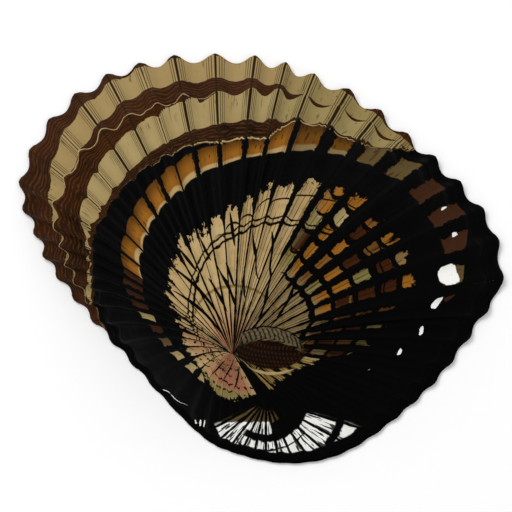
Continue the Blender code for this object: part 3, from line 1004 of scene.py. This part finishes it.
def lensOver(at, colour):
    # the hollow beside the beak, painted dark brown inside as painted shade and hatched, with a hatched ridge
    # and a black arc above it
    along, above, jitter = at["lensAlong"], at["above"], at["jitter"]
    across = put("ShaderNodeSeparateXYZ", Vector=at["place"]).outputs["Y"]
    columnsOf = rise(calc("SINE", times(along, lensPaint["columns"])), 0.0, 0.7)
    dots = calc("SINE", plus(times(across, lensPaint["dots"]), times(jitter, 3.0)))
    # dark brown painted shade in the hollow, broken by lighter hatching
    hollow = lay(paint["lens"], "lensLight", columnsOf, rise(dots, -0.3, 0.3), strength=0.45)
    colour = over(rise(at["hollow"], 0.10, 0.22), colour, hollow)
    lean = plus(times(along, lensPaint["lean"]), times(above, lensPaint["slant"]))
    hatch = rise(calc("SINE", plus(lean, times(jitter, 4.0))), -0.1, 0.5)
    ridge = over(hatch, paint["ridge"], paint["line"])
    colour = lay(colour, ridge, between(above, *lensPaint["ridge"], 0.15),
                 rise(along, 0.02, 0.12), inverse(rise(along, 0.86, 0.98)), strength=0.85)
    arcPlace = plus(above, times(jitter, 0.5))
    colour = lay(colour, "ink", between(arcPlace, *lensPaint["arc"], 0.06), rise(along, 0.08, 0.14))
    return lay(colour, "paleCream", rise(at["seam"], 0.6, 0.85), strength=0.85)


def outsideMaterial():
    material, surface = newMaterial("bandedShell")
    at = readMarks()
    colour = fanDrawing(at, fanColour(at))
    colour = over(at["inCells"], colour, stripColour(at))
    colour, creams, browns, waveHeight = terraceColour(at, colour)
    colour = inkOver(at, colour, creams)
    colour = whiteOver(at, colour)
    colour = lensOver(at, colour)
    feed(surface["Base Color"], colour)
    feed(surface["Roughness"], plus(0.45, times(at["cloud"], 0.15)))
    feed(surface["Specular IOR Level"], 0.03)
    height = plus(times(waveHeight, plus(0.3, browns)), times(at["hairs"], -0.4))
    height = plus(height, times(noiseOf(at["place"], grain["skin"], 3.0), 0.5))
    bump = put("ShaderNodeBump", Strength=0.45, Distance=0.00022, Height=height)
    feed(surface["Normal"], bump.outputs[0])
    return material


def undersideMaterial():
    material, surface = newMaterial("smoothUnderside")
    share, scar, away = mark("share"), mark("hollow"), mark("away")
    space = mark("ribSpace", vector=True)
    place = put("ShaderNodeTexCoord").outputs["Object"]
    cloud = useGroup(blotches, Vector=place, Size=60.0)["Tone"]
    rays = useGroup(fineRays, Space=space, Fineness=5.0, Amount=0.7)["Rays"]
    colour = over(cloud, paint["underPale"], paint["underTan"])
    colour = lay(colour, "underScar", scar, strength=0.45)
    colour = lay(colour, "underCrown", inverse(rise(share, 0.36, 0.56)), strength=0.5)
    # a brown border with a dark spot at each rib
    border = rise(plus(share, times(wander(space, 2.2, 3.0), 0.06)), 0.89, 0.95)
    colour = lay(colour, "brown", border, strength=0.85)
    ribSpots = inverse(rise(away, 0.10, 0.2))
    colour = lay(colour, "umber", ribSpots, rise(share, 0.84, 0.93), strength=0.8)
    colour = lay(colour, "sand", rays, strength=0.18)
    feed(surface["Base Color"], colour)
    feed(surface["Roughness"], 0.28)
    bump = put("ShaderNodeBump", Strength=0.3, Distance=0.0002, Height=noiseOf(place, 300.0, 3.0))
    feed(surface["Normal"], bump.outputs[0])
    return material


def dressShell():
    mesh = shell.data
    mesh.materials.clear()
    mesh.materials.append(outsideMaterial())
    mesh.materials.append(undersideMaterial())
    inside = np.zeros(len(mesh.vertices), np.float32)
    mesh.attributes["inside"].data.foreach_get("value", inside)
    under = [1 if sum(inside[v] for v in p.vertices) > len(p.vertices) - 0.5 else 0 for p in mesh.polygons]
    mesh.polygons.foreach_set("material_index", under)
    mesh.update()


dressShell()
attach(shell, "root")
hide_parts("limpet_shell")
print("shell painted")


# floor, light and camera
stage = {"floorSize": 1.6, "floorColour": (0.95, 0.95, 0.95, 1), "background": (1.0, 1.0, 1.0, 1),
         "backgroundStrength": 0.68}
lamps = {
    "key": {"place": (-0.22, 0.20, 0.42), "size": 0.35, "power": 1.25},
    "fill": {"place": (0.25, -0.25, 0.40), "size": 0.50, "power": 0.30},
}
view = {"lens": 180.0, "elevation": 72.0, "width": 0.08704, "aim": (-0.00063, -0.00016, 0.0)}


def makeFloor():
    bpy.ops.object.select_all(action="DESELECT")
    bpy.ops.mesh.primitive_plane_add(size=stage["floorSize"])
    floor = bpy.context.object
    floor.name = "floor"
    material, surface = newMaterial("paleFloor")
    feed(surface["Base Color"], stage["floorColour"])
    feed(surface["Roughness"], 0.9)
    feed(surface["Specular IOR Level"], 0.1)
    floor.data.materials.append(material)


def makeLights():
    world = bpy.data.worlds.new("studio")
    world.use_nodes = True
    back = world.node_tree.nodes["Background"]
    back.inputs["Color"].default_value = stage["background"]
    back.inputs["Strength"].default_value = stage["backgroundStrength"]
    bpy.context.scene.world = world
    for name, lamp in lamps.items():
        bpy.ops.object.light_add(type="AREA", location=lamp["place"])
        light = bpy.context.object
        light.name = name
        light.data.shape = "DISK"
        light.data.size = lamp["size"]
        light.data.energy = lamp["power"]
        x, y, z = lamp["place"]
        light.rotation_euler = (math.atan2(math.hypot(x, y), z), 0.0, math.atan2(y, x) + math.pi / 2)


def makeCamera():
    distance = view["width"] * view["lens"] / 36.0
    tilt = math.radians(90.0 - view["elevation"])
    x, y, z = view["aim"]
    bpy.ops.object.camera_add(location=(x, y - distance * math.sin(tilt), z + distance * math.cos(tilt)),
                              rotation=(tilt, 0.0, 0.0))
    camera = bpy.context.object
    camera.data.lens = view["lens"]
    camera.data.sensor_width = 36.0
    camera.data.clip_start = 0.01
    bpy.context.scene.camera = camera


makeFloor()
makeLights()
makeCamera()
bpy.context.scene.view_settings.view_transform = "Standard"
print("stage set")
